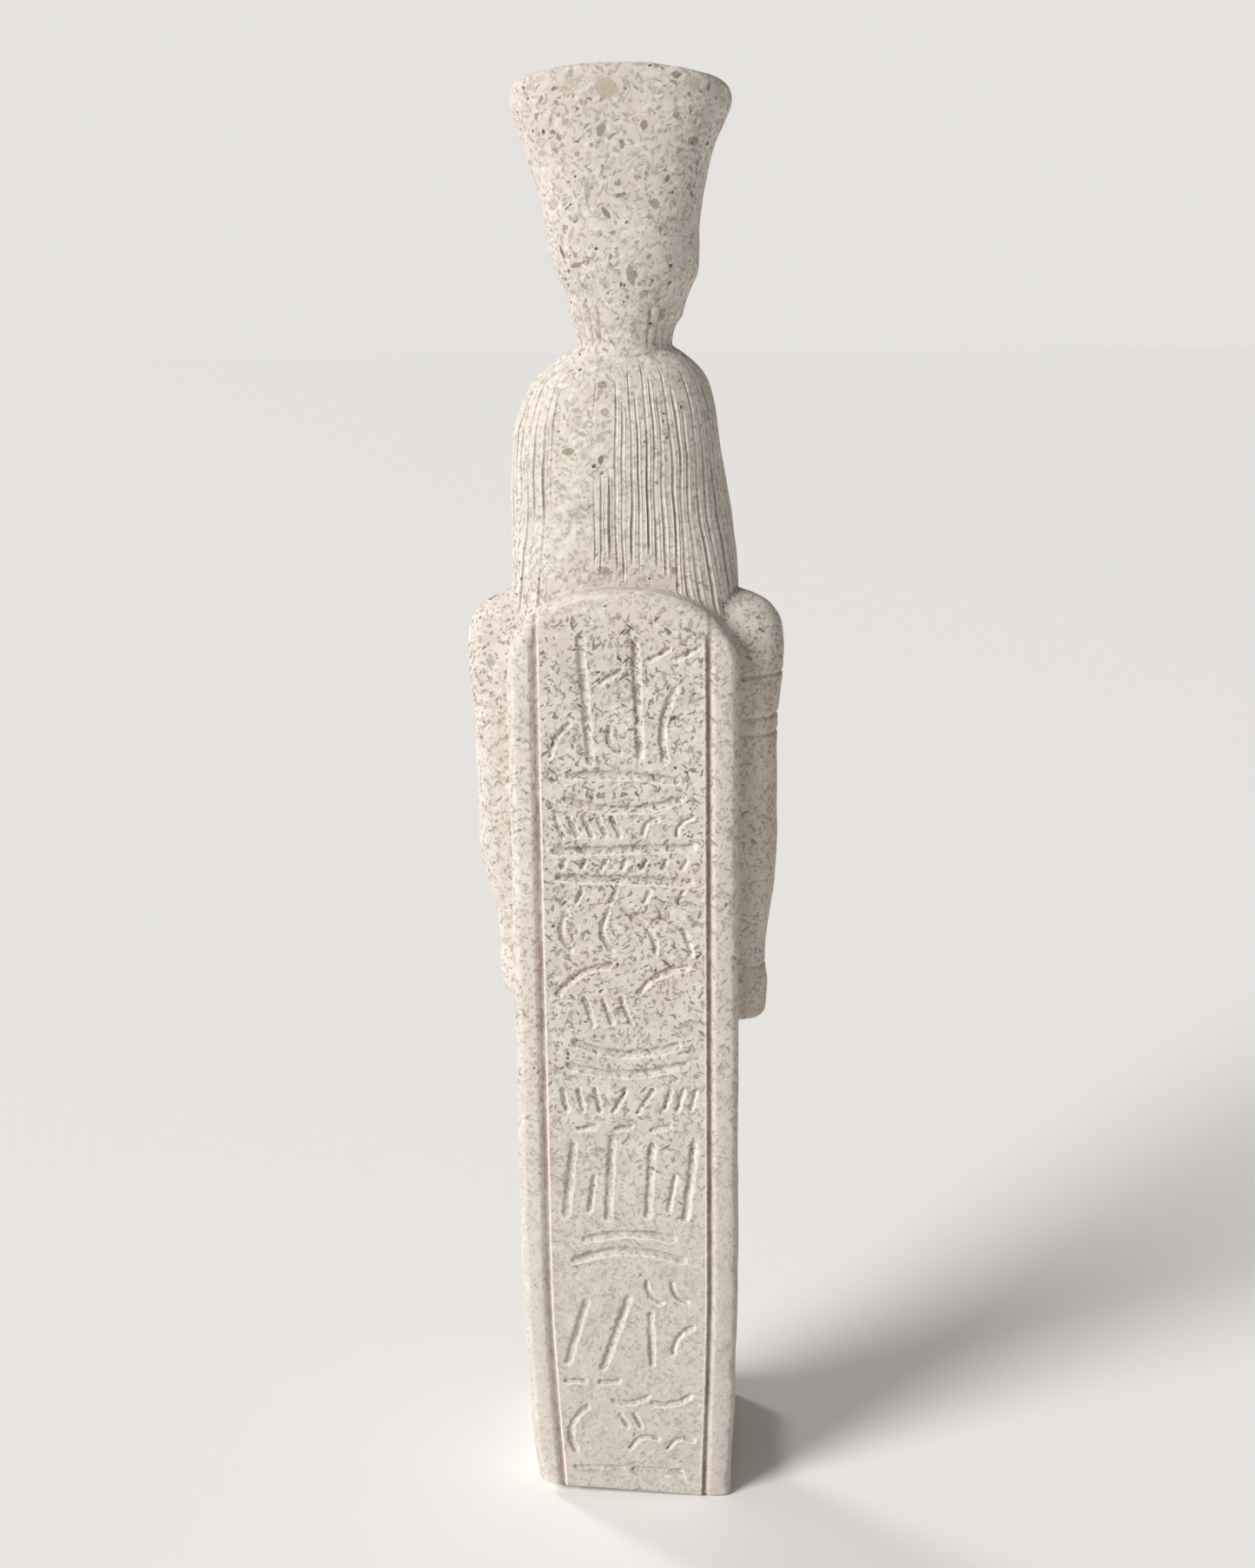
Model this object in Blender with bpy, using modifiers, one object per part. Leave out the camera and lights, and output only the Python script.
"""Standing goddess statue, cast in one piece: a tall flared crown, a strand-cut wig, straight arms, a
sheath dress, feet on a low plinth, and behind them a round-topped back pillar with incised strokes.

Metres, +Z up. The figure faces -Y, the pillar's flat back looks along +Y, and the origin is on the
underside, in the middle of the statue's box. Build with: blender --background --python part.py
"""

import math

import bmesh
import bpy
import numpy as np

MM = 0.001

# Plinth and back pillar
PLINTH_HEIGHT = 9 * MM
PLINTH_FRONT = 23 * MM
PLINTH_EDGE = 1.2 * MM
PLINTH_INSET = 0.6 * MM
PILLAR_WIDTH = 46.2 * MM
PILLAR_BACK = 23 * MM
PILLAR_THICKNESS = 16.6 * MM
PILLAR_EDGE = 1.2 * MM
FOOT_WEAR_LEFT = 3.0 * MM
FOOT_WEAR_RIGHT = 1.8 * MM
FOOT_WEAR_HEIGHT = 55 * MM

# Figure, from its soles to the top of the crown
FIGURE_HEIGHT = 291 * MM
HAND_DIFFERENCE = 5.2 * MM

# Carving
BORDER_INSET = 5.9 * MM
LINE_WIDTH = 1.4 * MM
LINE_DEPTH = 0.9 * MM
STROKE_WIDTH = 1.8 * MM
STROKE_DEPTH = 0.9 * MM
STRAND_DEPTH = 0.45 * MM
CUTTER_RISE = 0.1
ARMLET_DEPTH = 0.35 * MM
RELIEF_HEIGHT = 0.9 * MM

STONE_COLOUR = (0.66, 0.60, 0.53, 1.0)
STONE_ROUGHNESS = 0.85

# Proportions of the figure are counted in this share of its height, upwards from the plinth's top
SHARE = FIGURE_HEIGHT / 291

# Crown: height, half width, depth in front, depth behind, sideways set
CROWN = (
    (244.2, 11.4, 10.2, 10.2, -0.6),
    (248.0, 12.6, 11.2, 11.2, -0.9),
    (250.5, 13.7, 11.7, 11.8, -0.9),
    (255.5, 14.9, 12.0, 12.4, -0.3),
    (260.0, 15.2, 12.0, 12.6, 0.0),
    (267.0, 16.4, 12.1, 12.8, 0.2),
    (275.0, 18.6, 12.5, 13.2, 0.5),
    (283.0, 21.6, 13.1, 13.7, 0.1),
    (286.3, 22.3, 13.4, 14.0, 0.1),
)
CROWN_AXIS = 1.0
CROWN_POWERS = (2.05, 2.8)
CROWN_SQUARING = (244, 262)
CROWN_ARCH = 1.9
CROWN_LIP = 1.9

# Crown's top: how far in from the widest ring, and how much of the lip's height is reached there
CROWN_TOP = ((0.0, 0.35), (0.04, 0.8), (0.1, 1.1), (0.55, 1.25))

# Grooved drum between the crown and the wig: the same columns
DRUM = (
    (235.5, 9.8, 9.8, 9.8, -0.2),
    (237.7, 9.4, 9.4, 9.4, -0.3),
    (241.0, 10.2, 9.8, 9.8, -0.3),
    (243.3, 11.4, 10.4, 10.4, -0.6),
    (245.5, 11.8, 10.5, 10.5, -0.6),
)
DRUM_GROOVES = 28
DRUM_GROOVE_DEPTH = 0.45
DRUM_PLAIN = (3.5, 5.5)

# Wig round the head: the same columns
WIG = (
    (171.0, 21.4, 6.0, 16.2, 0.0),
    (180.0, 22.8, 8.0, 17.2, 0.0),
    (189.0, 23.1, 10.0, 16.4, 0.2),
    (201.0, 22.8, 12.2, 16.1, 0.7),
    (214.0, 21.4, 14.0, 16.2, 1.7),
    (221.4, 20.6, 14.4, 15.7, 1.9),
    (222.4, 20.4, 17.4, 15.6, 1.8),
    (225.0, 19.7, 17.6, 15.1, 1.5),
    (228.5, 18.5, 16.6, 14.2, 1.2),
    (232.0, 16.3, 14.2, 12.9, 0.6),
    (235.3, 12.5, 11.0, 10.6, 0.1),
    (237.6, 9.0, 8.6, 8.6, 0.0),
)
WIG_AXIS = -0.3
WIG_POWERS = (2.4, 4.0)
WIG_SQUARING = (184, 205)
STRANDS_BEHIND = 30
STRANDS_IN_FRONT = 10

# Strand cuts: the heights between which they fade out above, the same below within a half width of a middle,
# and a worn patch by its middle sideways, its height, its half width and half height
STRANDS_ABOVE = (222, 231)
STRANDS_BELOW = (191, 196, 13, -2)
WORN_PATCH = (10, 206, 6.5, 17)

# Low relief on the crown's front: the disc's height and radius, and the horn's height, middle and half width
DISC = (263.5, 8.2)
HORN = (
    (246.0, 2.6, 1.0),
    (248.6, 6.0, 1.9),
    (252.5, 9.6, 2.2),
    (258.5, 11.2, 2.0),
    (266.0, 12.2, 1.7),
    (274.0, 14.0, 1.4),
    (281.5, 16.6, 0.7),
)

# Face and neck: height, half width, depth in front, depth behind
FACE = (
    (184.0, 9.8, 3.6, 4.0),
    (189.0, 8.6, 5.0, 4.0),
    (194.4, 8.2, 7.2, 4.0),
    (195.4, 7.4, 10.8, 4.0),
    (197.0, 8.6, 13.4, 4.0),
    (200.0, 10.0, 13.9, 4.0),
    (205.0, 11.7, 14.0, 4.0),
    (210.0, 12.8, 14.0, 4.0),
    (216.0, 13.3, 14.0, 4.0),
    (221.0, 13.2, 13.7, 4.0),
    (226.0, 12.4, 12.6, 4.0),
)
FACE_AXIS = -3.0
FACE_POWER = 2.2
FACE_TURN = 72
FACE_COLUMNS = 23
FACE_ROWS = (198.2, 218.5, 1.55)

# Swellings and hollows of the face: sideways, height, half width, half height, how far out
FEATURES = (
    (0.0, 197.6, 2.8, 1.9, 0.7),
    (0.0, 200.2, 2.7, 0.8, 0.8),
    (0.0, 202.2, 3.1, 0.8, 0.9),
    (0.0, 206.4, 2.0, 1.2, 1.0),
    (6.6, 205.5, 3.6, 4.5, 0.5),
    (4.9, 212.9, 3.4, 2.0, -1.1),
    (4.9, 212.7, 2.2, 1.1, 1.3),
    (4.9, 216.3, 3.8, 0.9, 0.5),
)

# Nose: height of its root and of its foot, half width at each, how far out
NOSE = (214.5, 205.6, 1.0, 1.7, 2.6)
NOSE_UNDERCUT = 1.2

# Shoulders, body and dress down to the hem
BODY = (
    (-0.6, 10.2, 9.4, 8.0),
    (5.6, 10.0, 9.2, 8.0),
    (6.2, 13.8, 12.2, 8.0),
    (14.0, 13.4, 11.6, 8.0),
    (31.0, 13.8, 11.6, 8.0),
    (56.0, 15.5, 13.0, 8.0),
    (86.0, 18.4, 15.0, 8.0),
    (109.0, 19.0, 15.0, 8.0),
    (126.0, 17.6, 13.9, 8.0),
    (139.0, 16.6, 13.0, 8.0),
    (151.0, 18.2, 14.2, 8.0),
    (163.0, 21.0, 15.6, 8.0),
    (172.0, 23.5, 15.4, 8.0),
    (180.0, 24.5, 13.6, 8.0),
    (185.0, 22.0, 12.0, 8.0),
    (188.0, 16.5, 10.6, 7.0),
    (190.0, 10.0, 9.0, 5.0),
)
BODY_AXIS = 4.0
BODY_POWER = 2.3

# Arm: height, middle from the axis, depth of the middle, half width, half depth
ARM = (
    (97.0, 22.6, 5.0, 4.2, 4.6),
    (98.2, 22.7, 5.0, 5.2, 6.0),
    (104.0, 23.0, 5.2, 5.3, 6.4),
    (108.5, 23.1, 5.8, 5.0, 5.6),
    (113.0, 23.2, 6.4, 5.0, 5.4),
    (125.7, 24.0, 8.0, 5.9, 6.4),
    (138.0, 24.5, 9.3, 6.6, 7.3),
    (151.0, 24.3, 9.6, 6.7, 7.6),
    (162.0, 24.3, 9.4, 6.8, 7.8),
    (173.0, 23.4, 8.6, 8.7, 8.0),
    (179.0, 20.9, 7.4, 11.4, 7.0),
    (183.4, 18.8, 6.6, 12.6, 6.4),
    (186.0, 17.2, 6.2, 12.2, 5.8),
    (188.0, 15.6, 6.0, 10.6, 4.8),
    (189.0, 14.6, 5.8, 8.6, 3.2),
)
LIMB_POWER = 2.3
ARMLETS = (160.3, 163.9)
CUFF = 109.2
GROOVE_HALF = 0.6
FOREARM_SWAY = -0.8
FOREARM_TOP = 150.0

# Wig lappet on the chest: height, middle from the axis, depth of the middle, half width, half depth
LAPPET = (
    (166.0, 12.0, -9.5, 4.8, 3.2),
    (167.4, 12.2, -9.8, 5.6, 4.2),
    (175.0, 13.0, -9.4, 6.0, 4.6),
    (184.0, 14.4, -8.2, 6.2, 5.2),
    (195.0, 16.0, -6.6, 6.0, 6.0),
    (205.0, 16.3, -5.4, 4.8, 6.6),
    (214.0, 15.6, -5.0, 3.7, 7.0),
    (222.0, 14.4, -4.8, 3.0, 6.4),
    (227.0, 12.6, -4.4, 2.2, 4.0),
)

# Breast: middle sideways, forward and up, and half its width, depth and height
BREAST_MIDDLE = (8.4, 1.0, 160.5)
BREAST_RADII = (8.8, 12.8, 9.4)

# Foot: distance in front of the axis, half width, height
FOOT = ((-2, 4.0, 8.0), (5, 4.2, 7.6), (11, 4.6, 5.4), (16, 4.9, 3.6), (18.6, 4.6, 3.0), (19.8, 3.6, 2.0))
FOOT_SPREAD = 5.2

# Height of the pillar's spring line and of its top
PILLAR_SPRING = 174.0
PILLAR_TOP = 190.8
ARCH_POWER = 2.25

# Groups of strokes on the pillar, upwards: height of the middle, where the group starts and ends across the
# panel seen from behind (-1 left, 1 right), how many, length, lean to the right in degrees, bend
STROKES = (
    (-3.0, -0.5, 0.4, 2, 10.0, 88, 0.0),
    (7.2, -0.75, -0.75, 1, 10.5, 12, 0.2),
    (4.0, 0.2, 0.75, 2, 6.0, 70, 0.25),
    (9.5, -0.1, 0.1, 2, 3.2, -30, 0.0),
    (14.8, 0.0, 0.6, 2, 8.0, 80, -0.12),
    (30.5, -0.75, -0.2, 2, 16.0, 18, 0.0),
    (29.0, 0.3, 0.3, 1, 12.0, -3, 0.0),
    (40.0, 0.35, 0.7, 2, 5.5, -35, 0.2),
    (29.0, 0.75, 0.75, 1, 7.0, 35, 0.15),
    (18.8, -0.8, -0.3, 2, 4.0, 86, 0.0),
    (47.5, 0.0, 0.0, 1, 24.0, 91, 0.1),
    (52.5, 0.0, 0.0, 1, 20.0, 88, 0.07),
    (66.0, -0.8, 0.85, 4, 16.5, 5, 0.0),
    (63.0, -0.5, 0.6, 2, 8.0, 10, 0.0),
    (77.8, -0.55, 0.45, 3, 3.4, 80, 0.0),
    (84.0, -0.85, -0.4, 3, 4.6, -12, 0.0),
    (83.8, -0.1, 0.25, 2, 5.6, 32, 0.0),
    (84.2, 0.55, 0.9, 3, 4.2, 15, 0.0),
    (91.8, 0.0, 0.0, 1, 25.0, 90, -0.08),
    (96.5, 0.0, 0.0, 1, 21.0, 92, -0.1),
    (103.6, -0.5, 0.0, 3, 5.6, -20, 0.0),
    (110.5, -0.55, 0.5, 2, 12.0, 62, 0.12),
    (120.8, -0.75, -0.2, 2, 8.0, -8, 0.2),
    (120.0, 0.25, 0.68, 2, 9.5, -34, -0.18),
    (128.4, -0.6, 0.75, 4, 2.4, 25, 0.0),
    (132.0, 0.0, 0.0, 1, 27.0, 90.4, 0.0),
    (135.2, -0.8, 0.8, 7, 1.6, 25, 0.0),
    (138.4, 0.0, 0.0, 1, 26.0, 89.6, 0.0),
    (143.0, -0.85, -0.1, 5, 4.0, -24, 0.0),
    (143.2, 0.35, 0.8, 2, 4.4, 45, 0.2),
    (148.8, 0.0, 0.0, 1, 25.0, 90, -0.09),
    (153.2, 0.0, 0.0, 1, 22.0, 91, 0.03),
    (169.0, -0.48, 0.2, 2, 24.0, -2, 0.0),
    (161.0, -0.82, -0.82, 1, 7.0, 30, 0.1),
    (164.0, 0.62, 0.62, 1, 14.0, 8, 0.1),
    (178.5, 0.5, 0.85, 2, 4.2, 62, 0.0),
    (174.0, -0.14, -0.14, 1, 5.0, 55, 0.0),
    (161.0, -0.1, -0.1, 1, 6.0, -22, 0.2),
)


def up(height):
    """Real height of a proportion counted from the plinth's top."""
    return PLINTH_HEIGHT + height * SHARE


def eased(rows, heights):
    """Rows read at any height by cubics that keep the slopes between neighbouring rows."""
    rows = np.array(rows)
    known, values = rows[:, 0], rows[:, 1:]
    slopes = np.gradient(values, known, axis=0)
    low = np.clip(np.searchsorted(known, heights, side="right") - 1, 0, len(known) - 2)
    step = (known[low + 1] - known[low])[:, None]
    t = (heights - known[low])[:, None] / step
    return (
        (1 + 2 * t) * (1 - t) ** 2 * values[low]
        + t * (1 - t) ** 2 * step * slopes[low]
        + t**2 * (3 - 2 * t) * values[low + 1]
        + t**2 * (t - 1) * step * slopes[low + 1]
    )


def oval(angles, half_width, front, back, power=2.0):
    """Distance from the middle of an oval whose front and back have unlike depths."""
    c, s = np.cos(angles), np.sin(angles)
    depth = np.where(s > 0, back, front)
    return (np.abs(c / half_width) ** power + np.abs(s / depth) ** power) ** (-1 / power)


def step_between(value, low, high):
    """Rises smoothly from 0 at low to 1 at high."""
    t = np.clip((value - low) / (high - low), 0, 1)
    return t * t * (3 - 2 * t)


def keep_as_tool(thing):
    """Marks a form that is joined to the statue or cut from it."""
    thing.hide_render = True
    thing.display_type = "WIRE"
    TOOLS.objects.link(thing)
    return thing


def loft(name, rings):
    """Closed skin through a stack of rings, with a fan over each end."""
    rings = np.asarray(rings, dtype=float)
    levels, count = rings.shape[:2]
    vertices = np.concatenate([rings.reshape(-1, 3), rings[[0, -1]].mean(axis=1)])
    start, end = levels * count, levels * count + 1
    faces = []
    for level in range(levels - 1):
        for i in range(count):
            a, b = level * count + i, level * count + (i + 1) % count
            faces.append((a, b, b + count, a + count))
    last = (levels - 1) * count
    for i in range(count):
        j = (i + 1) % count
        faces.append((start, j, i))
        faces.append((end, last + i, last + j))
    mesh = bpy.data.meshes.new(name)
    mesh.from_pydata(vertices.tolist(), [], faces)
    shell = bmesh.new()
    shell.from_mesh(mesh)
    bmesh.ops.recalc_face_normals(shell, faces=shell.faces)
    shell.to_mesh(mesh)
    shell.free()
    return keep_as_tool(bpy.data.objects.new(name, mesh))


def make_crown():
    """Flared block with an arched top."""
    angles = np.linspace(0, 2 * np.pi, 32, endpoint=False)
    rings = []
    low, high = CROWN_POWERS
    for height, half, front, back, aside in CROWN:
        power = low + (high - low) * step_between(height, *CROWN_SQUARING)
        radius = oval(angles, half, front, back, power)
        x, y = radius * np.cos(angles), radius * np.sin(angles)
        rings.append((x, y, np.full_like(x, height), aside))
    widest = rings[-1]
    reach = CROWN[-1][1]
    for inset, rise in CROWN_TOP:
        x, y = widest[0] * (1 - inset), widest[1] * (1 - inset)
        arch = CROWN_ARCH * (1 - (x / reach) ** 2)
        z = widest[2] + CROWN_LIP * rise + arch * min(1.0, 2 * rise)
        rings.append((x, y, z, 0.0))
    return loft(
        "crown",
        [
            np.stack([(x + aside) * SHARE, (y + CROWN_AXIS) * SHARE, up(z)], axis=-1)
            for x, y, z, aside in rings
        ],
    )


def make_drum():
    """Short drum under the crown, grooved upright except where it is worn behind."""
    angles = np.linspace(0, 2 * np.pi, 2 * DRUM_GROOVES, endpoint=False)
    inwards = np.arange(len(angles)) % 2
    rings = []
    for height, half, front, back, aside in DRUM:
        radius = oval(angles, half, front, back)
        x, y = radius * np.cos(angles), radius * np.sin(angles)
        plain = (y > 0) * (1 - step_between(np.abs(x), *DRUM_PLAIN))
        shrink = 1 - DRUM_GROOVE_DEPTH * inwards * (1 - plain) / radius
        ring = ((x * shrink + aside) * SHARE, (y * shrink + CROWN_AXIS) * SHARE, np.full_like(x, up(height)))
        rings.append(np.stack(ring, axis=-1))
    return loft("drum", rings)


def make_disc():
    """Sun disc in low relief on the front of the crown."""
    bpy.ops.mesh.primitive_cylinder_add(vertices=26)
    disc = bpy.context.object
    disc.name = "disc"
    height, radius = DISC
    disc.scale = (radius * SHARE, radius * SHARE, RELIEF_HEIGHT)
    disc.rotation_euler = (math.pi / 2, 0, 0)
    disc.location = (0, -front_of_crown(height, 0) * SHARE, up(height))
    bpy.ops.object.transform_apply()
    bpy.context.collection.objects.unlink(disc)
    return keep_as_tool(disc)


def front_of_crown(height, aside):
    """Depth of the crown's front face before the axis, away from its rounded corners."""
    half, front = eased(CROWN, np.array([height]))[0, :2]
    power = CROWN_POWERS[1]
    return front * max(1 - abs(aside / half) ** power, 0.05) ** (1 / power) - CROWN_AXIS


def make_horn(name, side):
    """Horn in low relief beside the disc, from the crown's foot out to its upper corner."""
    turn = np.linspace(0, 2 * np.pi, 8, endpoint=False)
    rings = []
    for height, aside, half in HORN:
        x = side * (aside + half * np.cos(turn)) * SHARE
        y = (-front_of_crown(height, aside)) * SHARE - RELIEF_HEIGHT * np.sin(turn)
        rings.append(np.stack([x, y, np.full_like(x, up(height))], axis=-1))
    return loft(name, rings)


def strand_angles(behind, in_front):
    """Two angles a strand, closer together behind than in front."""
    back = np.linspace(0, np.pi, 2 * behind, endpoint=False)
    front = np.linspace(np.pi, 2 * np.pi, 2 * in_front, endpoint=False)
    return np.concatenate([back, front])


def strand_strength(x, height):
    """Depth of the strand cuts, 0 to 1: fading out above and over the pillar, gone in the worn patch."""
    aside, level, half_width, half_height = WORN_PATCH
    low, high, half, middle = STRANDS_BELOW
    worn = np.exp(-(((x - aside) / half_width) ** 4) - ((height - level) / half_height) ** 4)
    foot = np.where(np.abs(x - middle) < half, step_between(height, low, high), 1)
    return (1 - step_between(height, *STRANDS_ABOVE)) * (1 - worn) * foot


def make_wig():
    """Bell-shaped wig whose ring steps in and out at each strand."""
    angles = strand_angles(STRANDS_BEHIND, STRANDS_IN_FRONT)
    inwards = np.arange(len(angles)) % 2
    high, low = WIG_POWERS
    rings = []
    for height, half, front, back, aside in WIG:
        radius = oval(angles, half, front, back, low + (high - low) * step_between(height, *WIG_SQUARING))
        x = radius * np.cos(angles)
        radius = radius * SHARE - STRAND_DEPTH * inwards * strand_strength(x, height)
        ring = (radius * np.cos(angles) + aside * SHARE, radius * np.sin(angles) + WIG_AXIS * SHARE)
        rings.append(np.stack([*ring, np.full_like(x, up(height))], axis=-1))
    return loft("wig", rings)


def face_relief(x, height):
    """How far the face stands out at a point: soft bumps and hollows, and the wedge of the nose."""
    relief = np.zeros_like(x)
    for aside, level, half_width, half_height, out in FEATURES:
        bump = np.exp(-(((np.abs(x) - aside) / half_width) ** 2) - ((height - level) / half_height) ** 2)
        relief += out * bump
    top, foot, narrow, wide, out = NOSE
    slope = np.clip((top - height) / (top - foot), 0, 1)
    wing = narrow + (wide - narrow) * slope
    under = step_between(height, foot - NOSE_UNDERCUT, foot)
    return relief + out * slope * under * np.exp(-((x / wing) ** 2))


def make_face():
    """Face and neck: oval sections whose front carries the features."""
    front = np.radians(270 + FACE_TURN * np.linspace(-1, 1, FACE_COLUMNS))
    behind = np.radians(270 + np.linspace(FACE_TURN, 360 - FACE_TURN, 6)[1:-1])
    angles = np.concatenate([front, behind])
    levels = np.array(sorted({row[0] for row in FACE} | set(np.arange(*FACE_ROWS))))
    rings = []
    for height, (half, depth, back) in zip(levels, eased(FACE, levels)):
        radius = oval(angles, half, depth, back, FACE_POWER)
        x = radius * np.cos(angles)
        radius = radius + face_relief(x, height) * (np.sin(angles) < 0)
        ring = (radius * np.cos(angles), radius * np.sin(angles) + FACE_AXIS, np.full_like(x, height))
        rings.append(np.stack([ring[0] * SHARE, ring[1] * SHARE, up(ring[2])], axis=-1))
    return loft("face", rings)


def make_body():
    """Body in its dress: oval sections from the hem up to the neck."""
    angles = np.linspace(0, 2 * np.pi, 36, endpoint=False)
    rings = []
    for height, half, front, back in BODY:
        radius = oval(angles, half, front, back, BODY_POWER) * SHARE
        x, y = radius * np.cos(angles), radius * np.sin(angles) + BODY_AXIS * SHARE
        rings.append(np.stack([x, y, np.full_like(x, up(height))], axis=-1))
    return loft("body", rings)


def make_limb(name, rows, side, heights, dips=(), rise=0.0, sway=0.0, count=14, strand=0.0):
    """Arm or lappet: oval sections that follow a path, with level grooves at the dips or upright strands."""
    angles = np.linspace(0, 2 * np.pi, count, endpoint=False)
    rings = []
    for height, (aside, depth, half, half_depth) in zip(heights, eased(rows, heights)):
        low = 1 - step_between(height, ARM[0][0], FOREARM_TOP)
        radius = oval(angles, half, half_depth, half_depth, LIMB_POWER) * SHARE
        radius = radius - strand * (np.arange(count) % 2)
        radius = radius - ARMLET_DEPTH * (np.abs(height - np.array((*dips, -1))).min() < 0.01)
        x = radius * np.cos(angles) + (side * aside + sway * low) * SHARE
        y = radius * np.sin(angles) + depth * SHARE
        rings.append(np.stack([x, y, np.full(count, up(height) + rise * low)], axis=-1))
    return loft(name, rings)


def arm_heights(grooves):
    """The arm's own levels, with three more round each groove."""
    levels = {row[0] for row in ARM}
    for groove in grooves:
        levels = {level for level in levels if abs(level - groove) > 2 * GROOVE_HALF}
        levels |= {groove - GROOVE_HALF, groove, groove + GROOVE_HALF}
    return np.array(sorted(levels))


def make_foot(name, side):
    """Foot with its toes forward: arched sections that sink into the plinth."""
    turn = np.linspace(0, np.pi, 9)
    rings = []
    for distance, half, height in FOOT:
        x = (side * FOOT_SPREAD + half * np.cos(turn)) * SHARE
        z = PLINTH_HEIGHT + height * np.sin(turn) ** 0.8 * SHARE
        z[[0, -1]] = PLINTH_HEIGHT - PLINTH_EDGE
        rings.append(np.stack([x, np.full_like(x, -distance * SHARE), z], axis=-1))
    return loft(name, rings)


def make_breast(name, side):
    """Breast: an egg of which only the front stands out of the body."""
    bpy.ops.mesh.primitive_uv_sphere_add(segments=24, ring_count=12)
    egg = bpy.context.object
    egg.name = name
    egg.scale = [radius * SHARE for radius in BREAST_RADII]
    aside, forward, height = BREAST_MIDDLE
    egg.location = (side * aside * SHARE, -forward * SHARE, up(height))
    bpy.ops.object.transform_apply()
    bpy.context.collection.objects.unlink(egg)
    return keep_as_tool(egg)


def pillar_half(z, side):
    """Half width of the pillar at a height: straight sides, a little worn in towards the foot."""
    wear = FOOT_WEAR_LEFT if side > 0 else FOOT_WEAR_RIGHT
    return PILLAR_WIDTH / 2 - wear * (1 - step_between(z, -FOOT_WEAR_HEIGHT * 0.4, FOOT_WEAR_HEIGHT))


def pillar_outline():
    """Outline of the round-topped pillar seen from behind, anticlockwise from the lower left."""
    spring, top = up(PILLAR_SPRING), up(PILLAR_TOP)
    heights = np.array([0.0, 0.2, 0.45, 0.7, 1.0]) * FOOT_WEAR_HEIGHT
    right = [(pillar_half(z, 1), z) for z in heights]
    left = [(-pillar_half(z, -1), z) for z in heights[::-1]]
    arch = []
    for turn in np.linspace(0, math.pi, 19):
        c, s = math.cos(turn), math.sin(turn)
        x = math.copysign(abs(c) ** (2 / ARCH_POWER), c) * PILLAR_WIDTH / 2
        arch.append((x, spring + (top - spring) * s ** (2 / ARCH_POWER)))
    return right + arch + left


def make_pillar():
    """The outline as a flat curve given a thickness and a rounded edge, then turned to stand upright."""
    curve = bpy.data.curves.new("pillar", "CURVE")
    curve.dimensions = "2D"
    curve.fill_mode = "BOTH"
    curve.extrude = PILLAR_THICKNESS / 2 - PILLAR_EDGE
    curve.bevel_depth = PILLAR_EDGE
    curve.bevel_resolution = 1
    curve.offset = -PILLAR_EDGE
    outline = pillar_outline()
    line = curve.splines.new("POLY")
    line.points.add(len(outline) - 1)
    for point, (x, z) in zip(line.points, outline):
        point.co = (x, z, 0, 1)
    line.use_cyclic_u = True
    flat = bpy.data.objects.new("pillar_curve", curve)
    bpy.context.scene.collection.objects.link(flat)
    flat.rotation_euler = (math.pi / 2, 0, 0)
    flat.location = (0, PILLAR_BACK - PILLAR_THICKNESS / 2, 0)
    bpy.context.view_layer.update()
    mesh = bpy.data.meshes.new_from_object(flat.evaluated_get(bpy.context.evaluated_depsgraph_get()))
    pillar = bpy.data.objects.new("pillar", mesh)
    pillar.matrix_world = flat.matrix_world.copy()
    bpy.data.objects.remove(flat)
    shell = bmesh.new()
    shell.from_mesh(mesh)
    bmesh.ops.remove_doubles(shell, verts=shell.verts, dist=0.01 * MM)
    bmesh.ops.recalc_face_normals(shell, faces=shell.faces)
    shell.to_mesh(mesh)
    shell.free()
    return keep_as_tool(pillar)


def make_plinth():
    """Low block under the feet, set in a little from the pillar's foot, which it runs back into."""
    left, right = pillar_half(0, -1) - PLINTH_INSET, pillar_half(0, 1) - PLINTH_INSET
    depth = PLINTH_FRONT + PILLAR_BACK - PILLAR_THICKNESS / 2
    bpy.ops.mesh.primitive_cube_add(size=1)
    plinth = bpy.context.object
    plinth.name = "plinth"
    plinth.scale = (left + right, depth, PLINTH_HEIGHT)
    plinth.location = ((right - left) / 2, depth / 2 - PLINTH_FRONT, PLINTH_HEIGHT / 2)
    bpy.ops.object.transform_apply()
    edge = plinth.modifiers.new("edge", "BEVEL")
    edge.width = PLINTH_EDGE
    edge.segments = 2
    bpy.context.collection.objects.unlink(plinth)
    return keep_as_tool(plinth)


def groove(shell, path, width, depth):
    """Adds to a mesh the closed wedge that a chisel takes out along a path on the pillar's back."""
    path = np.asarray(path, dtype=float)
    along = np.gradient(path, axis=0)
    along /= np.linalg.norm(along, axis=1)[:, None]
    across = np.stack([-along[:, 1], along[:, 0]], axis=1)
    half = width / 2 * (1 + CUTTER_RISE)
    corners = ((half, PILLAR_BACK + depth * CUTTER_RISE), (-half, PILLAR_BACK + depth * CUTTER_RISE))
    edges = []
    for aside, y in (*corners, (0.0, PILLAR_BACK - depth)):
        edges.append([shell.verts.new((x, y, z)) for x, z in path + across * aside])
    for i in range(len(path) - 1):
        for a, b in zip(edges, edges[1:] + edges[:1]):
            shell.faces.new((a[i], a[i + 1], b[i + 1], b[i]))
    for i in (0, len(path) - 1):
        shell.faces.new([edge[i] for edge in edges])


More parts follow.
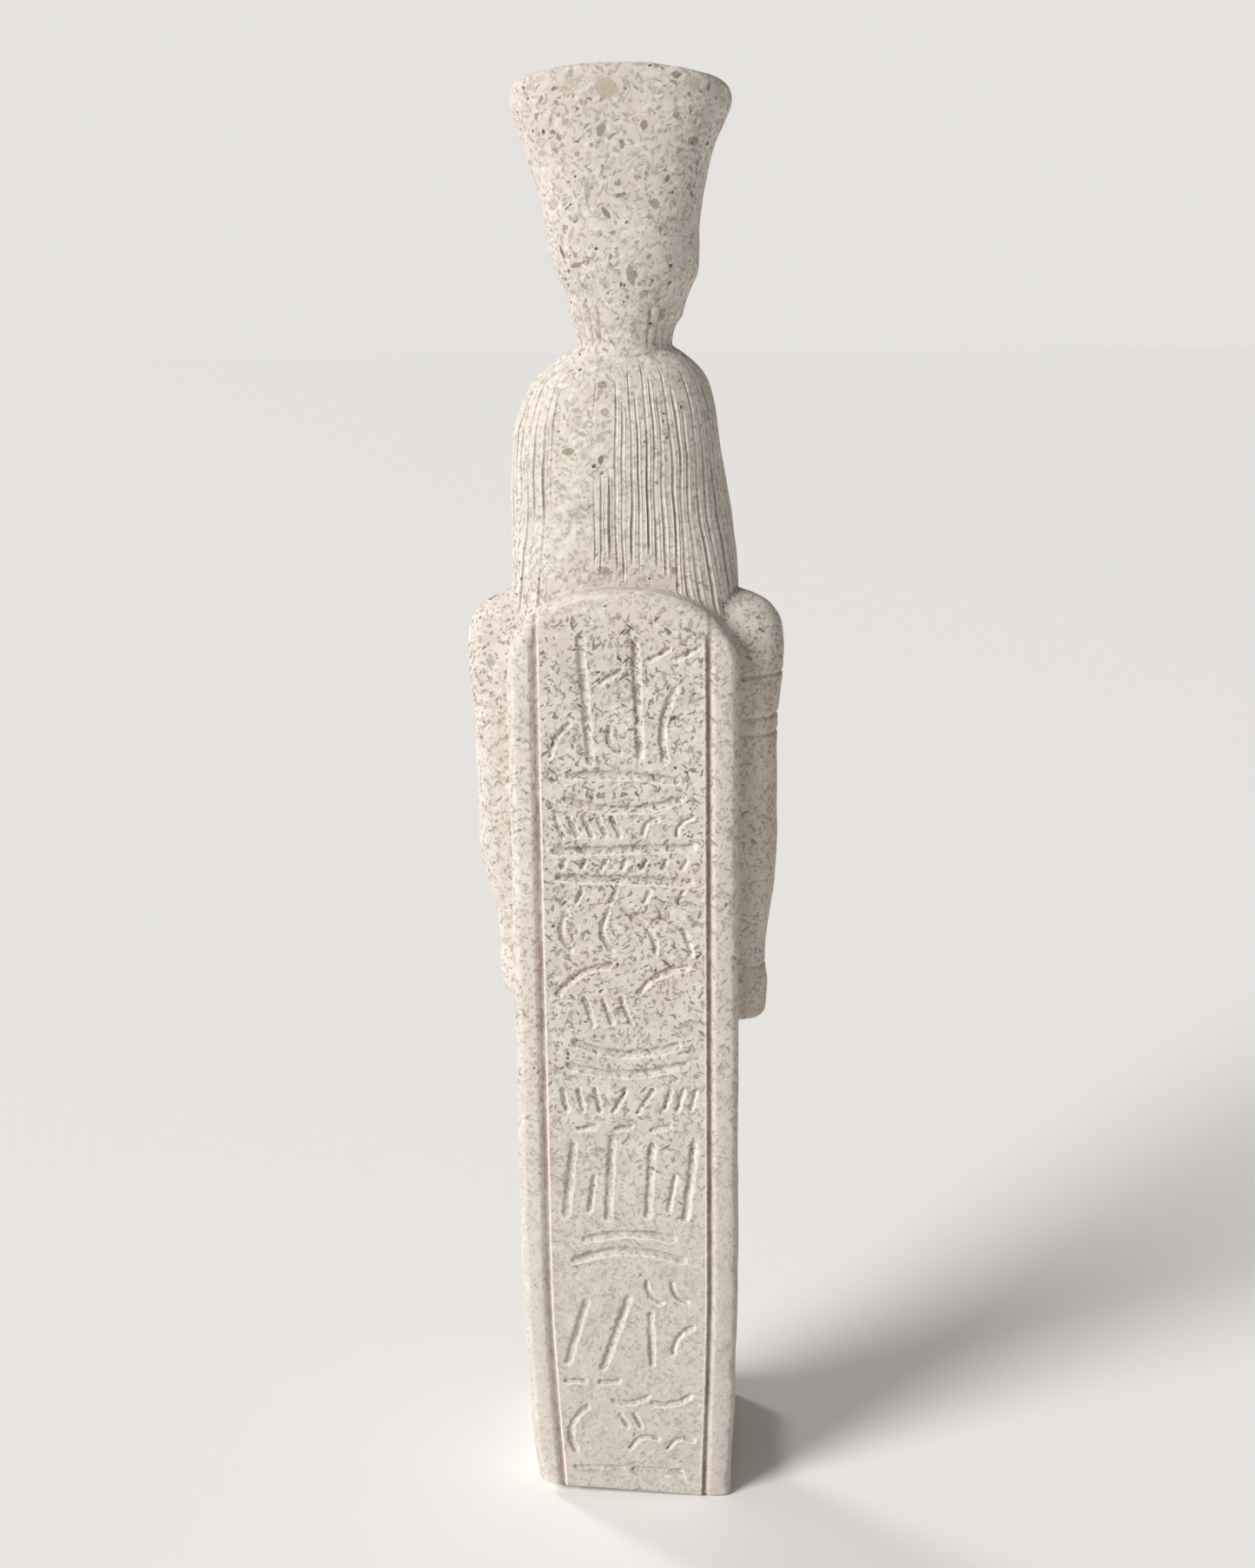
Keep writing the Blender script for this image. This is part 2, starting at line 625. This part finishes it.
def stroke_paths():
    """Every stroke as a short path of points, x and z on the pillar's back, with no two quite alike."""
    for row, (height, start, end, count, length, lean, bend) in enumerate(STROKES):
        room = pillar_half(up(height), -1) - BORDER_INSET - STROKE_WIDTH
        for i in range(count):
            share = start + (end - start) * (i / (count - 1) if count > 1 else 0)
            tilt = math.radians(lean + 2 * math.sin(1.7 * i + 2.3 * row))
            reach = length / 2 * SHARE * (1 + 0.08 * math.sin(3.1 * i + row))
            u = np.linspace(-1, 1, 4 if bend else 2)
            rise = 2 * bend * reach * (1 - u**2)
            x = -share * room - reach * u * math.sin(tilt) + rise * math.cos(tilt)
            z = up(height) + reach * u * math.cos(tilt) + rise * math.sin(tilt)
            yield np.stack([x, z], axis=1)


def make_strokes():
    """All strokes and the two border lines, as one set of separate wedges."""
    shell = bmesh.new()
    for path in stroke_paths():
        groove(shell, path, STROKE_WIDTH, STROKE_DEPTH)
    top = up(PILLAR_SPRING + 0.5 * (PILLAR_TOP - PILLAR_SPRING))
    for side in (1, -1):
        heights = np.array([-PLINTH_EDGE, 0.35 * FOOT_WEAR_HEIGHT, FOOT_WEAR_HEIGHT, top])
        x = [side * (pillar_half(z, side) - BORDER_INSET) for z in heights]
        groove(shell, np.stack([x, heights], axis=1), LINE_WIDTH, LINE_DEPTH)
    bmesh.ops.recalc_face_normals(shell, faces=shell.faces)
    mesh = bpy.data.meshes.new("strokes")
    shell.to_mesh(mesh)
    shell.free()
    return keep_as_tool(bpy.data.objects.new("strokes", mesh))


def stone():
    """Pale cast stone."""
    material = bpy.data.materials.new("cast_stone")
    material.use_nodes = True
    surface = material.node_tree.nodes["Principled BSDF"]
    surface.inputs["Base Color"].default_value = STONE_COLOUR
    surface.inputs["Roughness"].default_value = STONE_ROUGHNESS
    surface.inputs["Metallic"].default_value = 0.0
    return material


def shape_statue(statue, tool, operation):
    """Joins a form to the statue or cuts it away."""
    change = statue.modifiers.new(f"{operation.lower()}_{tool.name}", "BOOLEAN")
    change.operation = operation
    change.object = tool
    change.solver = "EXACT"
    change.use_self = True


def make_statue():
    """All forms joined into one solid, and the strokes cut into it."""
    body = make_body()
    statue = bpy.data.objects.new("goddess_statue", body.data.copy())
    bpy.data.objects.remove(body)
    forms = [make_pillar(), make_plinth(), make_wig(), make_drum(), make_crown(), make_disc(), make_face()]
    for side, word in ((1, "left"), (-1, "right")):
        rise = HAND_DIFFERENCE if side > 0 else 0.0
        grooves = (*ARMLETS, CUFF)
        arm = make_limb(f"{word}_arm", ARM, side, arm_heights(grooves), grooves, rise, FOREARM_SWAY)
        levels = np.array([row[0] for row in LAPPET])
        lappet = make_limb(f"{word}_lappet", LAPPET, side, levels, count=20, strand=STRAND_DEPTH)
        forms += [arm, lappet, make_foot(f"{word}_foot", side), make_horn(f"{word}_horn", side)]
        forms.append(make_breast(f"{word}_breast", side))
    for form in forms:
        shape_statue(statue, form, "UNION")
    shape_statue(statue, make_strokes(), "DIFFERENCE")
    statue.data.materials.append(stone())
    STATUE.objects.link(statue)
    return statue


for thing in list(bpy.data.objects):
    bpy.data.objects.remove(thing)

STATUE = bpy.data.collections.new("goddess_statue")
TOOLS = bpy.data.collections.new("forms_and_cutters")
bpy.context.scene.collection.children.link(STATUE)
bpy.context.scene.collection.children.link(TOOLS)

make_statue()
